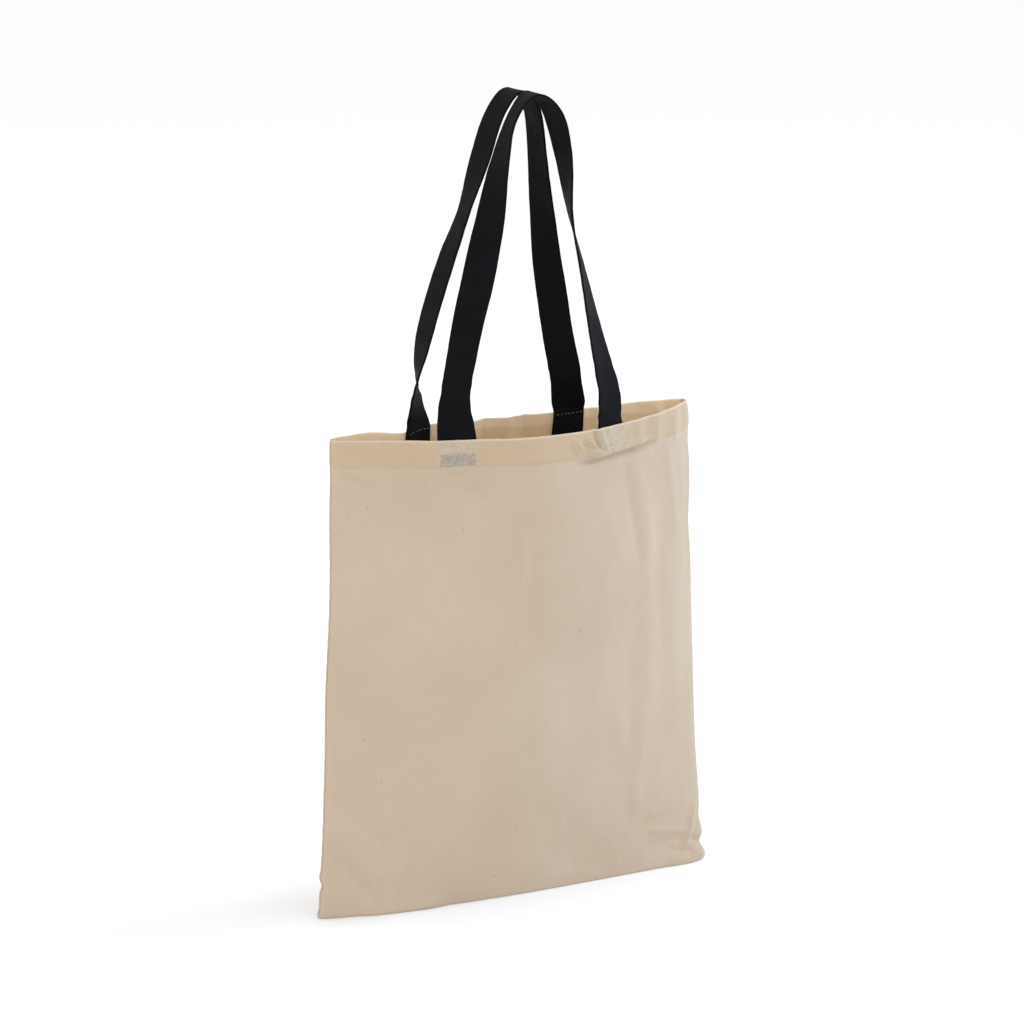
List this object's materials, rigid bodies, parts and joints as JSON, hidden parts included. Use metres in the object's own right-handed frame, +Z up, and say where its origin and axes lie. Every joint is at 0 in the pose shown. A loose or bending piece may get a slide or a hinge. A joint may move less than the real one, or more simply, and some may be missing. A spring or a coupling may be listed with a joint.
{
  "type": "canvas tote bag",
  "caption": "Open flat-made natural cotton tote bag with a turned and stitched mouth hem and long black webbing handles standing up.",
  "frame": {"origin": "on the floor under the middle of the bag, on the underside of its base, 1.5 mm in front of the bottom seam", "axes": "+X across the bag to the right as seen from the front, -Y out of the front, +Z up"},
  "size_m": [0.38, 0.1043, 0.7042],
  "materials": {
    "canvas": "unbleached plain-weave cotton, matte",
    "webbing": "black cotton webbing, slight sheen",
    "thread": "natural cotton sewing thread"
  },
  "bodies": {
    "bag": {"front_panel": "canvas", "back_panel": "canvas", "front_hem": "canvas", "back_hem": "canvas", "left_side_seam": "canvas", "right_side_seam": "canvas", "bottom_seam": "canvas", "front_strap_end_left": "webbing", "front_strap_end_right": "webbing", "back_strap_end_left": "webbing", "back_strap_end_right": "webbing", "front_strap_stitches": "thread", "back_strap_stitches": "thread", "front_hem_stitches": "thread", "back_hem_stitches": "thread", "left_overlock_thread": "thread", "right_overlock_thread": "thread", "bottom_overlock_thread": "thread"},
    "front_handle": {"front_handle_loop": "webbing"},
    "back_handle": {"back_handle_loop": "webbing"}
  },
  "joints": [
    {"name": "front_handle_flop", "type": "hinge", "parent": "bag", "child": "front_handle", "pos_m": [-0.009, -0.067, 0.43], "axis": [1, 0, 0], "range_deg": [0, 170]},
    {"name": "back_handle_flop", "type": "hinge", "parent": "bag", "child": "back_handle", "pos_m": [-0.015, 0.02, 0.43], "axis": [-1, 0, 0], "range_deg": [0, 160]}
  ]
}
